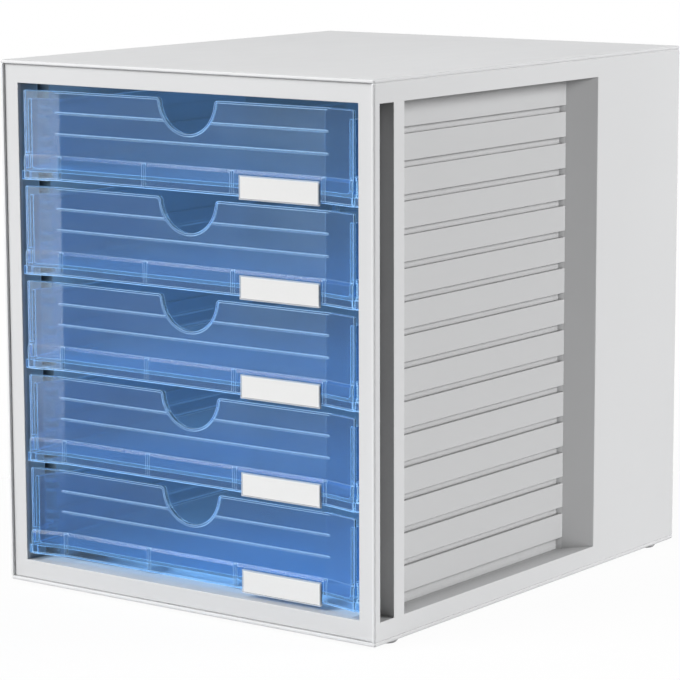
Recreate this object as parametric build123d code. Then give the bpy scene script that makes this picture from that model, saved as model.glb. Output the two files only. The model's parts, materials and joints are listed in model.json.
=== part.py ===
from build123d import *
import os

# Desktop drawer organizer: a closed housing of light grey moulded panels with five
# translucent drawers that slide out of the front.
# Millimetres. The front faces -Y, +X is to the viewer's right and +Z is up.
# The origin is on the desk, under the middle of the housing.

# Drawer fronts
drawer_count = 5
front_height = 53.7
front_gap = 3.6
front_top_gap = 4.0
front_bottom_gap = 4.1
front_side_gap = 3.9
front_overhang = 1.8
front_thickness = 2.0
front_recess = 5.0
end_strip_width = 23.4
notch_radius = 20.4
notch_corner_radius = 2.5
ridge_spacing = 12.7
ridge_height = 1.3
ridge_proud = 0.8
band_height = 15.0
band_foot = 1.3
band_proud = 1.0
band_lip_height = 1.8
band_lip_depth = 0.9
band_end_depth = 4.8
windows_per_band = 3
divider_width = 2.8
divider_proud = 0.8
divider_drop = 0.4
ear_height = 5.3
ear_depth = 3.0

# Drawer trays
tray_inner_width = 235.6
tray_inner_length = 311.2
tray_wall = 1.8
tray_front_drop = 5.5
tray_side_drop = 7.7
tray_rear_drop = 15.7
tray_shoulder_length = 26.0
tray_corner_radius = 8.0
tray_floor_chamfer = 1.5

# Runners and the ribs that carry them
ribs_per_drawer = 3
rib_reach = 2.6
rib_web = 1.6
groove_height = 4.0
runner_lift = 4.7
runner_flange = 1.8
slide_clearance = 0.3
side_clearance = 0.4
drawer_travel = 230.0
stop_thickness = 4.0

# Housing panels
panel_wall = 2.0
plate_thickness = 2.2
recess_depth = 12.9
recess_ramp_run = 19.2
recess_length = 203.7
slot_width = 13.4
slot_wall = 1.2
slot_to_recess = 10.0
border_bottom = 13.5
border_top = 13.5
panel_edge_radius = 1.2
plate_edge_radius = 1.0
seam_chamfer = 0.5
fit_gap = 0.3
lip_gap = 0.2
lip_thickness = 1.6
lip_depth = 6.0
stiffener_thickness = 1.6
stiffener_depth = 5.0
stiffeners_across = 4
stiffeners_along = 3
rear_clearance = 3.0
rear_wall = 2.2
rear_inset = 2.0

# Front frame
rim_inset = 1.8
frame_plate = 2.0
frame_wall = 2.0
frame_return = 15.5
frame_groove = 0.25
frame_edge_radius = 0.4
drawer_inset = 1.0

# Feet
foot_height = 2.0
foot_radius = 6.5
foot_side_inset = 1.4
foot_end_inset = 22.0

# Labels
label_left_gap = 4.9
label_right_gap = 1.0
label_height = 13.9
label_depth = 1.5
label_lip = 0.7
label_drop = 1.4
card_thickness = 0.4
card_gap = 0.1

# Widths, worked out from the tray to the outer face of a side panel
tray_half = tray_inner_width / 2 + tray_wall
runner_half = tray_half + rib_reach
rib_tip = tray_half + side_clearance
slat_inner = rib_tip + rib_reach
slat_face = slat_inner + panel_wall
groove_floor = slat_face - rib_reach
outer_half = slat_face + recess_depth
skin_inner = outer_half - panel_wall
front_half = tray_half + front_overhang
opening_half = front_half + front_side_gap
return_outer = opening_half + frame_wall
knee_half = front_half - end_strip_width
window_width = 2 * knee_half / windows_per_band
label_width = window_width - divider_width - label_left_gap - label_right_gap

# The ridges run on past the knees, until the angled strips swallow them
ridge_half = knee_half + 1.2 * ridge_proud * end_strip_width / front_recess

# Depths, worked out from the front rim to the rear rim
front_depth = rim_inset + drawer_inset + front_recess + front_thickness
rear_depth = tray_wall + rear_clearance + rear_wall + rear_inset
overall_depth = front_depth + tray_inner_length + rear_depth
front_rim = -overall_depth / 2
rear_rim = overall_depth / 2
frame_face = front_rim + rim_inset
frame_back = frame_face + frame_plate
return_end = frame_face + frame_plate + frame_return
front_end_face = frame_face + drawer_inset
front_mid_face = front_end_face + front_recess
front_mid_back = front_mid_face + front_thickness
tray_rear_inner = front_mid_back + tray_inner_length
tray_rear = tray_rear_inner + tray_wall
rear_panel_front = tray_rear + rear_clearance
rear_panel_back = rear_panel_front + rear_wall
slot_front = frame_back + slot_wall
slot_rear = slot_front + slot_width
recess_front = slot_rear + slot_to_recess
recess_rear = recess_front + recess_length
rib_start = slot_rear + slot_wall

# Heights, worked out from the desk up
front_pitch = front_height + front_gap
rib_pitch = front_pitch / ribs_per_drawer
sill_z = foot_height + border_bottom
stack_height = drawer_count * front_height + (drawer_count - 1) * front_gap
head_z = sill_z + front_bottom_gap + stack_height + front_top_gap
overall_height = head_z + border_top
panel_bottom = foot_height + plate_thickness
panel_top = overall_height - plate_thickness
first_groove_top = sill_z + front_bottom_gap + runner_lift - rib_web
groove_count = drawer_count * ribs_per_drawer
channel_height = rib_pitch - groove_height - 2 * rib_web
runner_height = channel_height - 2 * slide_clearance


def front_bottom(number):
    """Height of the lower edge of a drawer's front; drawer 1 is the top one."""
    return sill_z + front_bottom_gap + (drawer_count - number) * front_pitch


def tray_bottom(number):
    """Height of a tray's underside, just clear of the rib that carries it."""
    return front_bottom(number) + runner_lift + slide_clearance


def groove_top(index):
    """Height of the top of a side groove, counted from the lowest one."""
    return first_groove_top + index * rib_pitch


def groove_bottom(index):
    """Height of the bottom of a side groove; the lowest one starts at the sill."""
    if index == 0:
        return sill_z
    return groove_top(index) - groove_height


def block(x_low, x_high, y_low, y_high, z_low, z_high):
    """Rectangular solid between two corners."""
    solid = Box(x_high - x_low, y_high - y_low, z_high - z_low, align=Align.MIN)
    return Pos(x_low, y_low, z_low) * solid


def prism_up(points, z_low, z_high):
    """Solid with a plan outline, from one height to another."""
    face = make_face(Polyline(*points, close=True))
    return extrude(Pos(0, 0, z_low) * face, amount=z_high - z_low, dir=(0, 0, 1))


def prism_across(points, x_low, x_high):
    """Solid with a side outline of (y, z) points, from one x to another."""
    face = Plane.YZ * make_face(Polyline(*points, close=True))
    return extrude(Pos(x_low, 0, 0) * face, amount=x_high - x_low, dir=(1, 0, 0))


def slab_along(outline, y_low, y_high):
    """Solid with an outline drawn as seen from the front, from one y to another."""
    face = Plane.XZ * outline
    return extrude(Pos(0, y_low, 0) * face, amount=y_high - y_low, dir=(0, 1, 0))


def prism_along(points, y_low, y_high):
    """Solid with a front outline of (x, z) points, from one y to another."""
    return slab_along(make_face(Polyline(*points, close=True)), y_low, y_high)


def both_sides(solid):
    """A solid and its mirror image across the middle plane."""
    return [solid, mirror(solid, about=Plane.YZ)]


# Drawers

def front_line(proud):
    """Plan line of a front: flat in the middle, with its two ends angled forwards."""
    return [
        (-front_half, front_end_face - proud),
        (-knee_half, front_mid_face - proud),
        (knee_half, front_mid_face - proud),
        (front_half, front_end_face - proud),
    ]


def front_slab(proud, z_low, z_high):
    """Slab behind the front's plan line, as thick as the front and what stands proud."""
    face_line = front_line(proud)
    back_line = [(x, y + front_thickness + proud) for x, y in reversed(face_line)]
    return prism_up(face_line + back_line, z_low, z_high)


def label_band(z_low):
    """Label band just above the foot of a front: a sloped upper lip and a deep block at each end."""
    z_high = z_low + band_height
    band = front_slab(band_proud, z_low + band_foot, z_high)
    top = band.faces().sort_by(Axis.Z)[-1]
    front_edges = [edge for edge in top.edges() if edge.center().Y < front_line_y(edge.center().X)]
    band = chamfer(front_edges, band_lip_depth, band_lip_height, reference=top)
    end_back = front_end_face - band_proud + band_end_depth
    end = block(front_half - front_thickness, front_half, front_end_face, end_back, z_low + band_foot, z_high)
    for side in both_sides(end):
        band += side
    return band


def front_line_y(x):
    """Depth of the plate's face at a place across the front."""
    lean = max(0, abs(x) - knee_half) / end_strip_width
    return front_mid_face - front_recess * min(lean, 1)


def open_outline(z_top, grow):
    """Front outline of the open space over a front and in its half-round notch, grown all round."""
    edge = z_top - grow
    space = Pos(0, z_top) * Circle(notch_radius + grow)
    space += Pos(0, edge + notch_radius) * Rectangle(2 * opening_half, 2 * notch_radius)
    shoulders = space.vertices().sort_by(lambda corner: abs(corner.X))[:2]
    return fillet(shoulders, notch_corner_radius - grow)


def finger_notch(z_top):
    """Half-round finger notch with rounded shoulders, cut from the top edge."""
    return slab_along(open_outline(z_top, 0), front_rim, front_mid_back + tray_wall)


def edge_bead(z_top):
    """Raised bead along the top edge of a front and on round its notch."""
    bead = open_outline(z_top, ridge_height) - open_outline(z_top, 0)
    bead &= Pos(0, z_top) * Rectangle(2 * ridge_half, 4 * notch_radius)
    return slab_along(bead, front_mid_face - ridge_proud, front_mid_face + front_thickness / 2)


def front_ridges(z_top):
    """Two fine ridges across the middle of a front; their ends run out in the angled strips."""
    ridges = []
    for step in (1, 2):
        z = z_top - step * ridge_spacing
        outline = [
            (front_mid_face + front_thickness / 2, z),
            (front_mid_face - ridge_proud, z),
            (front_mid_face - ridge_proud, z - ridge_height / 2),
            (front_mid_face, z - ridge_height),
            (front_mid_face + front_thickness / 2, z - ridge_height),
        ]
        ridges.append(prism_across(outline, -ridge_half, ridge_half))
    return ridges


def band_dividers(z_low):
    """Upright ribs with sloped flanks that split the label band into its windows."""
    dividers = []
    face = front_mid_face - band_proud
    for index in range(windows_per_band + 1):
        x = index * window_width - knee_half
        outline = [
            (x - divider_width / 2, face + band_proud),
            (x - divider_width / 2, face),
            (x - divider_width / 4, face - divider_proud),
            (x + divider_width / 4, face - divider_proud),
            (x + divider_width / 2, face),
            (x + divider_width / 2, face + band_proud),
        ]
        dividers.append(prism_up(outline, z_low + band_foot, z_low + band_height - divider_drop))
    return dividers


def front_plate(number):
    """Drawer front: plate, ridges, label band, ears and finger notch."""
    z_low = front_bottom(number)
    z_top = z_low + front_height
    plate = front_slab(0, z_low, z_top)
    plate = chamfer(plate.faces().sort_by(Axis.Z)[-1].edges(), front_thickness / 4)
    plate += edge_bead(z_top)
    for ridge in front_ridges(z_top):
        plate += ridge
    plate += label_band(z_low)
    for divider in band_dividers(z_low):
        plate += divider
    ear_start = front_end_face + front_thickness / 2
    ear = block(tray_half, opening_half - side_clearance, ear_start, ear_start + ear_depth, z_low, z_low + ear_height)
    for side in both_sides(ear):
        plate += side
    return plate - finger_notch(z_top)


def tray_outline():
    """Plan outline of a tray, whose front edge ends inside the drawer front."""
    mid = front_thickness / 2
    return [
        (-tray_half, front_line_y(tray_half) + mid),
        (-knee_half, front_mid_face + mid),
        (knee_half, front_mid_face + mid),
        (tray_half, front_line_y(tray_half) + mid),
        (tray_half, tray_rear),
        (-tray_half, tray_rear),
    ]


def tray_shell(number):
    """Open tray with rounded rear corners and walls that step down from the front."""
    z_low = tray_bottom(number)
    z_top = front_bottom(number) + front_height
    z_front = z_top - tray_front_drop
    outer = prism_up(tray_outline(), z_low, z_front)
    rear_edges = outer.edges().filter_by(Axis.Z).sort_by(Axis.Y)[-2:]
    outer = fillet(rear_edges, tray_corner_radius)
    inner_half = tray_inner_width / 2
    inner = block(-inner_half, inner_half, 2 * front_rim, tray_rear_inner, z_low + tray_wall, z_front + tray_wall)
    inner_edges = inner.edges().filter_by(Axis.Z).sort_by(Axis.Y)[-2:]
    inner = fillet(inner_edges, tray_corner_radius - tray_wall)
    floor_edges = inner.faces().sort_by(Axis.Z)[0].edges()
    inner = chamfer(floor_edges, tray_floor_chamfer)
    shell = outer - inner
    z_side = z_top - tray_side_drop
    z_rear = z_top - tray_rear_drop
    shoulder = front_mid_back + tray_shoulder_length
    rear_shoulder = tray_rear - tray_shoulder_length
    above = z_front + tray_wall
    cut_line = [
        (front_mid_back + tray_wall, above),
        (front_mid_back + tray_wall, z_front),
        (shoulder, z_side),
        (rear_shoulder, z_side),
        (tray_rear - tray_corner_radius, z_rear),
        (tray_rear + tray_wall, z_rear),
        (tray_rear + tray_wall, above),
    ]
    return shell - prism_across(cut_line, -2 * tray_half, 2 * tray_half)


def runner(number):
    """Channel-shaped runner on the right side of a tray, closed at the rear by its stop."""
    z_low = tray_bottom(number)
    z_high = z_low + runner_height
    root = tray_half - tray_wall / 2
    outline = [
        (root, z_low),
        (runner_half, z_low),
        (runner_half, z_low + runner_flange),
        (tray_half, z_low + runner_flange),
        (tray_half, z_high - runner_flange),
        (runner_half, z_high - runner_flange),
        (runner_half, z_high),
        (root, z_high),
    ]
    start = front_end_face + front_thickness
    end = tray_rear - tray_corner_radius
    rail = prism_along(outline, start, end)
    stop = block(root, runner_half, end - stop_thickness, end, z_low, z_high)
    return rail + stop


def drawer(number):
    """One drawer, moulded in one piece."""
    solid = front_plate(number) + tray_shell(number)
    for side in both_sides(runner(number)):
        solid += side
    return solid


# Labels

def label_place(number):
    """Right end, lower edge and seat of a label holder on its drawer's band."""
    x_right = knee_half - divider_width / 2 - label_right_gap
    z_low = front_bottom(number) - label_drop
    y_seat = front_mid_face - band_proud
    return x_right, z_low, y_seat


def label_holder(number):
    """Clear holder: a back plate with a lip along its top, its bottom and its ends."""
    x_right, z_low, y_seat = label_place(number)
    x_left = x_right - label_width
    body = block(x_left, x_right, y_seat - label_depth, y_seat, z_low, z_low + label_height)
    pocket_back = y_seat - label_depth + card_thickness + 2 * card_gap
    pocket = block(
        x_left + label_lip,
        x_right - label_lip,
        y_seat - 2 * label_depth,
        pocket_back,
        z_low + label_lip,
        z_low + label_height - label_lip,
    )
    return body - pocket


def label_card(number):
    """Blank card that lies in the holder, just below its front lips."""
    x_right, z_low, y_seat = label_place(number)
    inset = label_lip + card_gap
    y_back = y_seat - label_depth + card_thickness + 2 * card_gap
    return block(
        x_right - label_width + inset,
        x_right - inset,
        y_back - card_thickness,
        y_back,
        z_low + inset,
        z_low + label_height - inset,
    )


# Housing

def housing_plate(z_low, z_high, inward):
    """Top or bottom plate with a locating lip and stiffening ribs on its inner side."""
    plate = block(-outer_half, outer_half, front_rim, rear_rim, z_low, z_high)
    plate = fillet(plate.edges().filter_by(Axis.Z), panel_edge_radius)
    outer_end, inner_end = (-1, 0) if inward < 0 else (0, -1)
    plate = fillet(plate.faces().sort_by(Axis.Z)[outer_end].edges(), plate_edge_radius)
    plate = chamfer(plate.faces().sort_by(Axis.Z)[inner_end].edges(), seam_chamfer)
    seat = z_low if inward < 0 else z_high
    lip_half = skin_inner - lip_gap
    lip_front = frame_back + lip_gap
    lip_rear = rear_panel_front - lip_gap
    lip_middle = (lip_front + lip_rear) / 2
    lip_length = lip_rear - lip_front
    ring = Rectangle(2 * lip_half, lip_length)
    ring -= Rectangle(2 * (lip_half - lip_thickness), lip_length - 2 * lip_thickness)
    lattice = Sketch()
    for index in range(1, stiffeners_across + 1):
        y = lip_length * (index / (stiffeners_across + 1) - 0.5)
        lattice += Pos(0, y) * Rectangle(2 * lip_half, stiffener_thickness)
    for index in range(1, stiffeners_along + 1):
        x = 2 * lip_half * (index / (stiffeners_along + 1) - 0.5)
        lattice += Pos(x, 0) * Rectangle(stiffener_thickness, lip_length)
    lip = extrude(Pos(0, lip_middle, seat) * ring, amount=lip_depth, dir=(0, 0, inward))
    ribs = extrude(Pos(0, lip_middle, seat) * lattice, amount=stiffener_depth, dir=(0, 0, inward))
    return plate + lip + ribs


def foot_places():
    """Centre of each foot, with the name of its corner."""
    x = outer_half - foot_side_inset - foot_radius
    y = rear_rim - foot_end_inset
    return {
        "front_left_foot": (-x, -y),
        "front_right_foot": (x, -y),
        "rear_left_foot": (-x, y),
        "rear_right_foot": (x, y),
    }


def foot(place):
    """Rubber foot: a low disc on the bottom panel, with a sloped lower edge."""
    x, y = place
    r = foot_radius
    profile = Polyline(
        (0, 0),
        (r - foot_height / 2, 0),
        (r, foot_height / 2),
        (r, foot_height),
        (0, foot_height),
        close=True,
    )
    solid = revolve(Plane.XZ * make_face(profile), Axis.Z)
    return Pos(x, y, 0) * solid


def bottom_panel():
    """Bottom plate, which stands on the feet."""
    return housing_plate(foot_height, panel_bottom, 1)


def top_panel():
    """Top plate, the mirror of the bottom one."""
    return housing_plate(panel_top, overall_height, -1)


def recess_outline(x_face, grow):
    """Plan outline of the side recess down to one depth; grow moves its two end walls outwards."""
    slope = recess_ramp_run / (outer_half - groove_floor)
    lean = (1 + slope ** 2) ** 0.5
    x_open = outer_half + panel_wall
    rear = recess_rear + grow * lean
    return [
        (x_open, recess_front - grow),
        (x_face, recess_front - grow),
        (x_face, rear - slope * (outer_half - x_face)),
        (x_open, rear + slope * (x_open - outer_half)),
    ]


def skin():
    """Outer skin of the right side panel, with rounded edges all round."""
    plate = block(skin_inner, outer_half, front_rim, rear_rim, panel_bottom, panel_top)
    edges = plate.faces().sort_by(Axis.X)[-1].edges()
    plate = fillet(edges.filter_by(Axis.Z), panel_edge_radius)
    top_and_bottom = plate.edges().filter_by(Axis.Y).sort_by(Axis.X)[-2:]
    return chamfer(top_and_bottom, seam_chamfer)


def rib_fins(y_low, y_high):
    """Thin fins that carry each rib on from the recess to the end of the panel."""
    fins = []
    for index in range(groove_count):
        for z in (groove_bottom(index) - rib_web, groove_top(index)):
            fins.append(block(rib_tip, skin_inner + panel_wall / 2, y_low, y_high, z, z + rib_web))
    return fins


def side_panel():
    """Right side panel: skin, slatted recess, joining slot and the ribs for the runners."""
    solid = skin()
    wall_low = sill_z - panel_wall
    wall_high = head_z + panel_wall
    shell = prism_up(recess_outline(rib_tip, panel_wall), wall_low, wall_high)
    solid += shell & block(rib_tip, skin_inner, front_rim, rear_rim, wall_low, wall_high)
    tunnel_low = sill_z - slot_wall
    tunnel_high = head_z + slot_wall
    solid += block(return_outer + fit_gap, skin_inner, frame_back, rib_start, tunnel_low, tunnel_high)
    for fin in rib_fins(rib_start, recess_front):
        solid += fin
    ramp_foot = recess_rear - recess_ramp_run
    for fin in rib_fins(ramp_foot, rear_panel_front - fit_gap):
        solid += fin
    seat_low = panel_bottom + lip_depth + fit_gap
    seat_high = panel_top - lip_depth - fit_gap
    seat = rear_panel_front - lip_thickness
    solid += block(skin_inner - lip_thickness, skin_inner, seat, rear_panel_front, seat_low, seat_high)
    solid -= block(return_outer, outer_half + fit_gap, slot_front, slot_rear, sill_z, head_z)
    solid -= prism_up(recess_outline(slat_face, 0), sill_z, head_z)
    for index in range(groove_count):
        solid -= prism_up(recess_outline(groove_floor, 0), groove_bottom(index), groove_top(index))
        channel_low = groove_top(index) + rib_web
        channel_high = min(channel_low + channel_height, head_z)
        if index == groove_count - 1:
            channel_high = head_z
        solid -= block(rib_tip - side_clearance, slat_inner, rib_start, recess_rear, channel_low, channel_high)
    for number in range(1, drawer_count + 1):
        solid += travel_stop(number)
    return solid


def travel_stop(number):
    """Block between two ribs that stops a drawer's runner at the end of its travel."""
    rear = tray_rear - tray_corner_radius - stop_thickness - drawer_travel - fit_gap
    z_low = tray_bottom(number) + runner_flange + slide_clearance
    z_high = tray_bottom(number) + runner_height - runner_flange - slide_clearance
    return block(rib_tip, slat_inner + panel_wall / 2, rear - stop_thickness, rear, z_low, z_high)


def rear_panel():
    """Rear panel, set in between the other four."""
    half = skin_inner - lip_gap
    plate = block(-half, half, rear_panel_front, rear_panel_back, panel_bottom + lip_gap, panel_top - lip_gap)
    edges = plate.faces().sort_by(Axis.Y)[-1].edges()
    return chamfer(edges, seam_chamfer)


def front_frame():
    """Front frame: a flat ring in the rim of the housing, with a return that lines the opening."""
    middle = (sill_z + head_z) / 2
    opening = Rectangle(2 * opening_half, head_z - sill_z)
    outer_width = 2 * (skin_inner - frame_groove)
    outer_height = panel_top - panel_bottom - 2 * frame_groove
    outer_middle = (panel_top + panel_bottom) / 2
    outer = block(
        -outer_width / 2,
        outer_width / 2,
        frame_face,
        frame_back,
        outer_middle - outer_height / 2,
        outer_middle + outer_height / 2,
    )
    outer = fillet(outer.faces().sort_by(Axis.Y)[0].edges(), frame_edge_radius)
    ring = offset(opening, amount=frame_wall, kind=Kind.INTERSECTION)
    plane = Plane.XZ.offset(-return_end)
    lining = extrude(plane * Pos(0, middle) * ring, amount=return_end - frame_back)
    hollow = block(-opening_half, opening_half, front_rim, rear_rim, sill_z, head_z)
    frame = outer + lining - hollow
    opening_edges = frame.faces().sort_by(Axis.Y)[0].inner_wires()[0].edges()
    return fillet(opening_edges, frame_edge_radius)


def build_nodes():
    """Every piece of the organizer by its node name."""
    right = side_panel()
    nodes = {
        "top_panel": top_panel(),
        "bottom_panel": bottom_panel(),
        "right_side_panel": right,
        "left_side_panel": mirror(right, about=Plane.YZ),
        "rear_panel": rear_panel(),
        "front_frame": front_frame(),
    }
    for name, place in foot_places().items():
        nodes[name] = foot(place)
    for number in range(1, drawer_count + 1):
        nodes[f"drawer_{number}"] = drawer(number)
        nodes[f"label_holder_{number}"] = label_holder(number)
        nodes[f"label_card_{number}"] = label_card(number)
    return nodes


os.makedirs("parts", exist_ok=True)
for node_name, node_shape in build_nodes().items():
    export_step(node_shape, f"parts/{node_name}.step")
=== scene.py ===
import bpy
import json
from math import cos, pi, sin
from mathutils import Matrix, Vector

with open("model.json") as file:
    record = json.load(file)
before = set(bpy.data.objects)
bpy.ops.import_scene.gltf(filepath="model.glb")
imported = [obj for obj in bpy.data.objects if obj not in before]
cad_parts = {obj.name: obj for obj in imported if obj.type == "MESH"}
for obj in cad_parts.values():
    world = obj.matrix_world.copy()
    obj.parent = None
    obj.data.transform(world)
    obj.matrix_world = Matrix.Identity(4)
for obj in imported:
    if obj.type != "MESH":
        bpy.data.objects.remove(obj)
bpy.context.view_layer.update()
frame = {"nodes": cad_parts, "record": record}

# Camera
camera_place = Vector((1.0868, -1.4841, 0.4475))
camera_yaw = 0.6355
camera_pitch = 0.1650
camera_roll = -0.0033
camera_lens = 158.5
sensor_width = 36.0

# Colours, as linear values
housing_colour = (0.720, 0.724, 0.732)
frame_colour = (0.635, 0.639, 0.646)
drawer_colour = (0.290, 0.535, 0.800)
# Painted highlight colour along the drawer plastic's edges
drawer_highlight_colour = (0.420, 0.660, 0.920)
# Painted glow of the drawer trays and of the drawer plastic's edges
tray_glow = (0.021, 0.034, 0.046)
edge_glow = (0.100, 0.180, 0.300)
lamp_tint = (0.890, 0.940, 0.980)
clear_colour = (0.780, 0.795, 0.810)
card_colour = (0.740, 0.740, 0.735)
rubber_colour = (0.420, 0.420, 0.425)
floor_colour = (0.900, 0.900, 0.900)
floor_bounce_colour = (0.600, 0.600, 0.600)

# Roughness of the moulded plastics
housing_roughness = 0.56
frame_roughness = 0.50

# Width of the painted bright edges of see-through plastic, and how round the edges of opaque
# plastic are
edge_width = 0.0008
edge_rounding = 0.0003

# The painted highlight line along an edge and the band of painted shade around it start and are
# full at these cosines of the turn that rounding gives the surface, and the band is this dark
edge_line = (0.985, 0.92)
edge_band = (0.998, 0.96)
edge_shade_tone = 0.40

# Reach of the painted shade in corners and pockets, how dark it makes them, how open the darkest
# and the unshaded places are, and the distance over which it sets in at the floor of the slot
pocket_reach = 0.022
pocket_shade_tone = 0.25
pocket_openness = (0.25, 0.60)
pocket_blend = 0.001

# A side recess with painted shade spans these places across, along and up the object, out from the
# face of its slats
recess_across = (0.1246, 0.1370)
recess_along = (-0.1363, 0.0700)
recess_up = (0.0130, 0.3090)
recess_shade_tone = 0.80

# The tall slot in front of a side recess, which gets painted shade
slot_across = (0.1180, 0.1370)
slot_along = (-0.1602, -0.1467)
slot_up = (0.0080, 0.3120)
slot_shade_tone = 0.68

# Where a drawer's tray, which scatters more light than its front and gets a painted glow, starts,
# and the distance over which the plastic changes there
tray_start = -0.1545
tray_blend = 0.002

# Index of refraction of the drawer plastic, lower than the real one's 1.49, so that the fronts
# reflect as little of the white surroundings as they do in the photograph
drawer_index = 1.33

# How see-through the drawer plastic is in a front and in a tray, and the share left along edges
front_clearness = 0.975
tray_clearness = 0.82
edge_clearness = 0.45

# How far a place limit in a material is softened
limit_blend = 0.0004

# The round floor: its radius and sides, the distances over which it fades out, and the share of
# plain white in what the camera sees of it
floor_radius = 1.0
floor_sides = 64
floor_fade = (0.30, 0.75)
floor_lift = 0.95

# The point that the lamps look at, the strength of the soft fill light, and the lamps
# Each lamp has a name, a place, the side of its square in metres, and its power in watts
middle = (0.0, 0.0, 0.16)
fill_light = 0.10
lamps = (
    ("key", (-1.38, -2.60, 2.23), 2.2, 118.0),
    ("rear_fill", (2.53, 1.62, 1.25), 1.4, 88.0),
    ("front_card", (-0.90, -2.72, 0.20), 1.25, 24.0),
)


# Node helpers

class Tree:
    """A material's node tree, with short calls for the nodes that the materials share."""

    def __init__(self, name):
        self.material = bpy.data.materials.new(name)
        self.material.use_nodes = True
        self.nodes = self.material.node_tree.nodes
        self.links = self.material.node_tree.links
        self.nodes.clear()
        self.output = self.nodes.new("ShaderNodeOutputMaterial")
        self.place = self.nodes.new("ShaderNodeTexCoord").outputs["Object"]

    def link(self, source, target):
        """Joins an output to an input, or sets a plain value on it."""
        if isinstance(source, bpy.types.NodeSocket):
            self.links.new(source, target)
        else:
            target.default_value = source

    def noise(self, scale, detail=2.0, roughness=0.5, stretch=(1, 1, 1)):
        """Noise value in object space; scale is in waves per metre."""
        mapping = self.nodes.new("ShaderNodeMapping")
        mapping.inputs["Scale"].default_value = stretch
        self.links.new(self.place, mapping.inputs["Vector"])
        noise = self.nodes.new("ShaderNodeTexNoise")
        noise.inputs["Scale"].default_value = scale
        noise.inputs["Detail"].default_value = detail
        noise.inputs["Roughness"].default_value = roughness
        self.links.new(mapping.outputs["Vector"], noise.inputs["Vector"])
        return noise.outputs["Fac"]

    def ramp(self, value, low, high, out_low, out_high):
        """Maps a value from one range to another, clamped at both ends."""
        node = self.nodes.new("ShaderNodeMapRange")
        node.inputs["From Min"].default_value = low
        node.inputs["From Max"].default_value = high
        node.inputs["To Min"].default_value = out_low
        node.inputs["To Max"].default_value = out_high
        self.links.new(value, node.inputs["Value"])
        return node.outputs["Result"]

    def maths(self, operation, first, second):
        """One arithmetic step on two values."""
        node = self.nodes.new("ShaderNodeMath")
        node.operation = operation
        self.link(first, node.inputs[0])
        self.link(second, node.inputs[1])
        return node.outputs[0]

    def blend(self, factor, first, second):
        """Mix of two colours."""
        node = self.nodes.new("ShaderNodeMix")
        node.data_type = "RGBA"
        self.link(factor, node.inputs["Factor"])
        self.link(as_rgba(first), node.inputs["A"])
        self.link(as_rgba(second), node.inputs["B"])
        return node.outputs["Result"]

    def bump(self, height, strength, distance, normal=None):
        """Bump from a height value; distance is in metres."""
        node = self.nodes.new("ShaderNodeBump")
        node.inputs["Strength"].default_value = strength
        node.inputs["Distance"].default_value = distance
        self.links.new(height, node.inputs["Height"])
        if normal is not None:
            self.links.new(normal, node.inputs["Normal"])
        return node.outputs["Normal"]

    def within(self, value, limits):
        """1 where a value lies between two limits, and 0 outside."""
        low, high = limits
        above = self.ramp(value, low - limit_blend, low, 0.0, 1.0)
        below = self.ramp(value, high, high + limit_blend, 1.0, 0.0)
        return self.maths("MULTIPLY", above, below)

    def in_box(self, across, across_limits, along_limits, up_limits):
        """1 inside a box on either side of the object, and 0 outside."""
        inside = self.within(across, across_limits)
        inside = self.maths("MULTIPLY", inside, self.within(self.along("Y"), along_limits))
        return self.maths("MULTIPLY", inside, self.within(self.along("Z"), up_limits))

    def edge(self, width):
        """Masks of the painted highlight line along sharp edges and of the wider band of painted
        shade around it; width in metres.
        """
        bevel = self.nodes.new("ShaderNodeBevel")
        bevel.samples = 6
        bevel.inputs["Radius"].default_value = width
        shape = self.nodes.new("ShaderNodeNewGeometry")
        dot = self.nodes.new("ShaderNodeVectorMath")
        dot.operation = "DOT_PRODUCT"
        self.links.new(bevel.outputs["Normal"], dot.inputs[0])
        self.links.new(shape.outputs["Normal"], dot.inputs[1])
        line = self.ramp(dot.outputs["Value"], *edge_line, 0.0, 1.0)
        edge_shade = self.ramp(dot.outputs["Value"], *edge_band, 0.0, 1.0)
        return line, edge_shade

    def rounded(self, radius):
        """Normal that rounds sharp edges, so that they catch the light."""
        bevel = self.nodes.new("ShaderNodeBevel")
        bevel.samples = 4
        bevel.inputs["Radius"].default_value = radius
        return bevel.outputs["Normal"]

    def pocket(self, reach):
        """1 on open surfaces, and down to 0 deep in grooves and corners."""
        node = self.nodes.new("ShaderNodeAmbientOcclusion")
        node.samples = 4
        node.inputs["Distance"].default_value = reach
        node.only_local = True
        return node.outputs["AO"]

    def along(self, axis):
        """Place along one axis of the object, in metres."""
        split = self.nodes.new("ShaderNodeSeparateXYZ")
        self.links.new(self.place, split.inputs[0])
        return split.outputs[axis]

    def let_lamps_through(self, shader, colour):
        """Lets the lamps' shadow rays pass through a surface, tinted."""
        clear = self.nodes.new("ShaderNodeBsdfTransparent")
        clear.inputs["Color"].default_value = as_rgba(colour)
        path = self.nodes.new("ShaderNodeLightPath")
        mix = self.nodes.new("ShaderNodeMixShader")
        self.links.new(path.outputs["Is Shadow Ray"], mix.inputs[0])
        self.links.new(shader.outputs[0], mix.inputs[1])
        self.links.new(clear.outputs[0], mix.inputs[2])
        self.links.new(mix.outputs[0], self.output.inputs["Surface"])

    def principled(self, **inputs):
        """Principled shader joined to the output."""
        shader = self.nodes.new("ShaderNodeBsdfPrincipled")
        for label, value in inputs.items():
            socket = shader.inputs[label.replace("_", " ")]
            self.link(as_rgba(value), socket)
        self.links.new(shader.outputs[0], self.output.inputs["Surface"])
        return shader


def as_rgba(value):
    """A colour of three numbers gets its alpha; anything else is left as it is."""
    if isinstance(value, tuple) and len(value) == 3:
        return (*value, 1.0)
    return value


def scaled(colour, factor):
    """A colour made darker or lighter."""
    return tuple(min(1.0, channel * factor) for channel in colour)


# Materials

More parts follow.
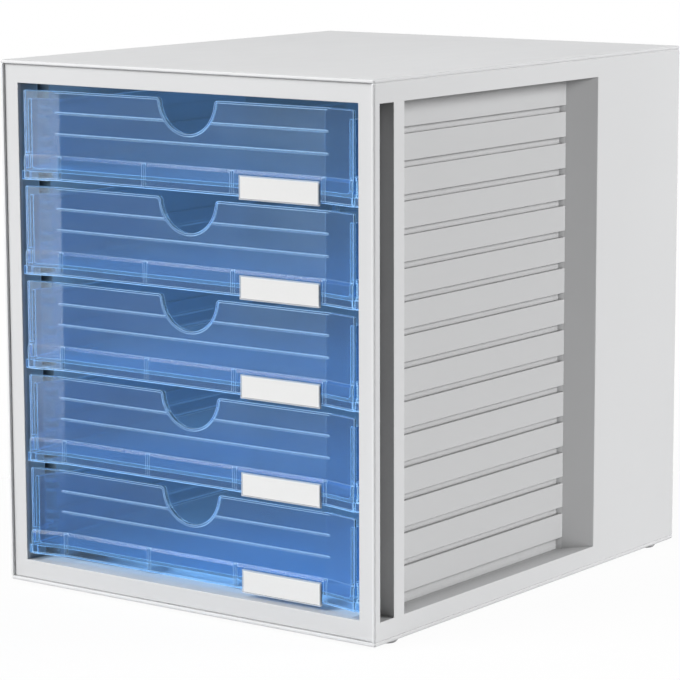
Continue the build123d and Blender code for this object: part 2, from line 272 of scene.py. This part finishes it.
def moulded_plastic(name, colour, roughness):
    """Opaque moulded plastic: fine spark texture, faint flow marks and handling scuffs, with
    painted shade in pockets and corners, in the side slots and on the side recesses.
    """
    tree = Tree(name)
    grain = tree.noise(scale=3200.0, detail=3.0, roughness=0.6)
    flow = tree.noise(scale=7.0, detail=4.0, roughness=0.55, stretch=(1.0, 1.0, 0.45))
    scuff = tree.noise(scale=95.0, detail=5.0, roughness=0.7, stretch=(1.0, 0.25, 3.0))
    streak = tree.ramp(flow, 0.3, 0.7, 0.0, 1.0)
    tone = tree.blend(streak, scaled(colour, 0.982), scaled(colour, 1.015))
    speck = tree.ramp(grain, 0.35, 0.65, 0.0, 0.5)
    tone = tree.blend(speck, tone, scaled(colour, 0.975))
    across = tree.maths("ABSOLUTE", tree.along("X"), 0.0)
    # Painted shade, darker deep in pockets and corners, outside the floor of the slot
    outside = tree.ramp(across, slot_across[0] - pocket_blend, slot_across[0], 0.0, 1.0)
    dust_and_painted_shade = tree.ramp(tree.pocket(pocket_reach), *pocket_openness, 1.0 - pocket_shade_tone, 0.0)
    dust_and_painted_shade = tree.ramp(tree.maths("MULTIPLY", dust_and_painted_shade, outside), 0.0, 1.0, 1.0, 0.0)
    # Painted shade in the tall slots
    slot_shade = tree.in_box(across, slot_across, slot_along, slot_up)
    slot_shade = tree.ramp(slot_shade, 0.0, 1.0, 1.0, slot_shade_tone)
    # Painted shade on the side recesses
    recess_shade = tree.in_box(across, recess_across, recess_along, recess_up)
    recess_shade = tree.ramp(recess_shade, 0.0, 1.0, 1.0, recess_shade_tone)
    shade = tree.maths("MULTIPLY", tree.maths("MULTIPLY", dust_and_painted_shade, slot_shade), recess_shade)
    tone = tree.blend(shade, (0.0, 0.0, 0.0), tone)
    gloss = tree.ramp(scuff, 0.35, 0.75, roughness - 0.05, roughness + 0.07)
    normal = tree.bump(grain, strength=0.10, distance=0.00008, normal=tree.rounded(edge_rounding))
    normal = tree.bump(flow, strength=0.10, distance=0.0006, normal=normal)
    tree.principled(Base_Color=tone, Roughness=gloss, IOR=1.5, Normal=normal)
    return tree.material


def translucent_plastic(name, colour, highlight_colour):
    """Tinted see-through plastic through which the lamps' light passes, with a painted highlight
    and painted shade along its edges, and a painted glow along its edges and in its trays.
    """
    tree = Tree(name)
    cloud = tree.noise(scale=16.0, detail=3.0, roughness=0.5, stretch=(0.6, 1.0, 1.6))
    grain = tree.noise(scale=1500.0, detail=2.0, roughness=0.5)
    smear = tree.noise(scale=60.0, detail=4.0, roughness=0.65, stretch=(0.35, 1.0, 2.2))
    haze = tree.ramp(cloud, 0.3, 0.7, 0.0, 1.0)
    tone = tree.blend(haze, scaled(colour, 0.96), scaled(colour, 1.04))
    # Painted highlight along the edges, and a band of painted shade around it
    edge, edge_shade = tree.edge(edge_width)
    tone = tree.blend(edge_shade, tone, scaled(colour, edge_shade_tone))
    tone = tree.blend(edge, tone, highlight_colour)
    tray = tree.ramp(tree.along("Y"), tray_start, tray_start + tray_blend, 0.0, 1.0)
    clearness = tree.ramp(tray, 0.0, 1.0, front_clearness, tray_clearness)
    clearness = tree.maths("MULTIPLY", clearness, tree.ramp(edge, 0.0, 1.0, 1.0, edge_clearness))
    # Painted glow in the trays and along the edges
    glow = tree.blend(tray, (0.0, 0.0, 0.0), tray_glow)
    glow = tree.blend(edge, glow, edge_glow)
    gloss = tree.ramp(smear, 0.35, 0.7, 0.13, 0.19)
    normal = tree.bump(grain, strength=0.02, distance=0.00002)
    shader = tree.principled(
        Base_Color=tone,
        Roughness=gloss,
        IOR=drawer_index,
        Transmission_Weight=clearness,
        Emission_Color=glow,
        Emission_Strength=1.0,
        Normal=normal,
    )
    tree.let_lamps_through(shader, lamp_tint)
    return tree.material


def clear_plastic(name, colour):
    """Clear polished plastic with faint wiping marks."""
    tree = Tree(name)
    smear = tree.noise(scale=120.0, detail=4.0, roughness=0.6, stretch=(0.4, 1.0, 2.0))
    gloss = tree.ramp(smear, 0.35, 0.7, 0.04, 0.10)
    normal = tree.bump(smear, strength=0.04, distance=0.0001)
    shader = tree.principled(
        Base_Color=colour,
        Roughness=gloss,
        IOR=1.49,
        Transmission_Weight=0.60,
        Normal=normal,
    )
    tree.let_lamps_through(shader, colour)
    return tree.material


def card_stock(name, colour):
    """Matt white card with short paper fibres."""
    tree = Tree(name)
    fibre = tree.noise(scale=1800.0, detail=4.0, roughness=0.7, stretch=(0.4, 1.0, 1.4))
    cloud = tree.noise(scale=45.0, detail=3.0, roughness=0.5)
    strand = tree.ramp(fibre, 0.35, 0.65, 0.0, 1.0)
    tone = tree.blend(strand, scaled(colour, 0.975), scaled(colour, 1.01))
    patch = tree.ramp(cloud, 0.4, 0.7, 0.0, 0.4)
    tone = tree.blend(patch, tone, scaled(colour, 0.985))
    normal = tree.bump(fibre, strength=0.15, distance=0.00005)
    tree.principled(Base_Color=tone, Roughness=0.62, IOR=1.45, Normal=normal)
    return tree.material


def foot_rubber(name, colour):
    """Light grey rubber with a dusty, pitted surface."""
    tree = Tree(name)
    pits = tree.noise(scale=900.0, detail=4.0, roughness=0.65)
    dust_and_painted_shade = tree.noise(scale=160.0, detail=3.0, roughness=0.6)
    tone = tree.blend(tree.ramp(dust_and_painted_shade, 0.4, 0.75, 0.0, 0.5), colour, scaled(colour, 1.25))
    normal = tree.bump(pits, strength=0.25, distance=0.0001)
    tree.principled(Base_Color=tone, Roughness=0.78, IOR=1.52, Normal=normal)
    return tree.material


materials = {
    "housing_grey": moulded_plastic("housing_plastic", housing_colour, housing_roughness),
    "frame_grey": moulded_plastic("frame_plastic", frame_colour, frame_roughness),
    "drawer_blue": translucent_plastic("drawer_plastic", drawer_colour, drawer_highlight_colour),
    "label_clear": clear_plastic("holder_plastic", clear_colour),
    "label_white": card_stock("card", card_colour),
    "foot_rubber": foot_rubber("rubber", rubber_colour),
}

slot_of_node = {entry["node"]: entry["material_slot"] for entry in frame["record"]["subparts"]}
for node_name, node_object in frame["nodes"].items():
    node_object.data.materials.clear()
    node_object.data.materials.append(materials[slot_of_node[node_name]])


# Stage, lights and camera

def seen_directly(nodes, links):
    """1 for camera, glossy and transmission rays, and 0 for the rays that carry light."""
    path = nodes.new("ShaderNodeLightPath")
    value = path.outputs["Is Camera Ray"]
    for ray in ("Is Glossy Ray", "Is Transmission Ray"):
        either = nodes.new("ShaderNodeMath")
        either.operation = "MAXIMUM"
        links.new(value, either.inputs[0])
        links.new(path.outputs[ray], either.inputs[1])
        value = either.outputs[0]
    return value


def floor_material():
    """White floor that keeps the object's shadow and fades into the white background."""
    tree = Tree("floor")
    seen = seen_directly(tree.nodes, tree.links)
    diffuse = tree.nodes.new("ShaderNodeBsdfDiffuse")
    tone = tree.blend(seen, floor_bounce_colour, floor_colour)
    tree.links.new(tone, diffuse.inputs["Color"])
    white = tree.nodes.new("ShaderNodeEmission")
    white.inputs["Color"].default_value = (1.0, 1.0, 1.0, 1.0)
    white.inputs["Strength"].default_value = 1.0
    lift = tree.nodes.new("ShaderNodeMixShader")
    tree.links.new(tree.ramp(seen, 0.0, 1.0, 0.0, floor_lift), lift.inputs[0])
    tree.links.new(diffuse.outputs[0], lift.inputs[1])
    tree.links.new(white.outputs[0], lift.inputs[2])
    clear = tree.nodes.new("ShaderNodeBsdfTransparent")
    length = tree.nodes.new("ShaderNodeVectorMath")
    length.operation = "LENGTH"
    tree.links.new(tree.place, length.inputs[0])
    fade = tree.ramp(length.outputs["Value"], *floor_fade, 0.0, 1.0)
    mix = tree.nodes.new("ShaderNodeMixShader")
    tree.links.new(fade, mix.inputs[0])
    tree.links.new(lift.outputs[0], mix.inputs[1])
    tree.links.new(clear.outputs[0], mix.inputs[2])
    tree.links.new(mix.outputs[0], tree.output.inputs["Surface"])
    return tree.material


def add_floor():
    """Round floor under the object."""
    mesh = bpy.data.meshes.new("studio_floor")
    turns = [2 * pi * i / floor_sides for i in range(floor_sides)]
    points = [(floor_radius * cos(turn), floor_radius * sin(turn), 0.0) for turn in turns]
    mesh.from_pydata(points, [], [tuple(range(floor_sides))])
    mesh.materials.append(floor_material())
    floor = bpy.data.objects.new("studio_floor", mesh)
    bpy.context.collection.objects.link(floor)


def add_world(strength):
    """Soft fill light, with a white background for the camera, reflections and clear surfaces."""
    world = bpy.data.worlds.new("studio")
    bpy.context.scene.world = world
    world.use_nodes = True
    nodes = world.node_tree.nodes
    links = world.node_tree.links
    nodes.clear()
    output = nodes.new("ShaderNodeOutputWorld")
    fill = nodes.new("ShaderNodeBackground")
    fill.inputs["Color"].default_value = (1.0, 1.0, 1.0, 1.0)
    fill.inputs["Strength"].default_value = strength
    white = nodes.new("ShaderNodeBackground")
    white.inputs["Color"].default_value = (1.0, 1.0, 1.0, 1.0)
    white.inputs["Strength"].default_value = 1.0
    mix = nodes.new("ShaderNodeMixShader")
    links.new(seen_directly(nodes, links), mix.inputs[0])
    links.new(fill.outputs[0], mix.inputs[1])
    links.new(white.outputs[0], mix.inputs[2])
    links.new(mix.outputs[0], output.inputs["Surface"])


def add_lamp(name, place, size, power):
    """Soft square lamp that looks at the object's middle, and that only shiny surfaces show."""
    data = bpy.data.lights.new(name, "AREA")
    data.shape = "SQUARE"
    data.size = size
    data.energy = power
    lamp = bpy.data.objects.new(name, data)
    lamp.location = place
    lamp.visible_camera = False
    ahead = Vector(middle) - Vector(place)
    lamp.rotation_euler = ahead.to_track_quat("-Z", "Y").to_euler()
    bpy.context.collection.objects.link(lamp)


def add_camera():
    """Camera at the photograph's place."""
    forward = cos(camera_pitch)
    ahead = Vector((-sin(camera_yaw) * forward, cos(camera_yaw) * forward, -sin(camera_pitch)))
    level = Vector((cos(camera_yaw), sin(camera_yaw), 0.0))
    above = level.cross(ahead)
    right = cos(camera_roll) * level + sin(camera_roll) * above
    up = -sin(camera_roll) * level + cos(camera_roll) * above
    data = bpy.data.cameras.new("camera")
    data.lens = camera_lens
    data.sensor_width = sensor_width
    data.clip_start = 0.05
    data.clip_end = 50.0
    camera = bpy.data.objects.new("camera", data)
    turn = Matrix((right, up, -ahead)).transposed().to_4x4()
    camera.matrix_world = Matrix.Translation(camera_place) @ turn
    bpy.context.collection.objects.link(camera)
    bpy.context.scene.camera = camera


add_floor()
add_world(fill_light)
for lamp in lamps:
    add_lamp(*lamp)
add_camera()
bpy.context.scene.view_settings.view_transform = "Standard"
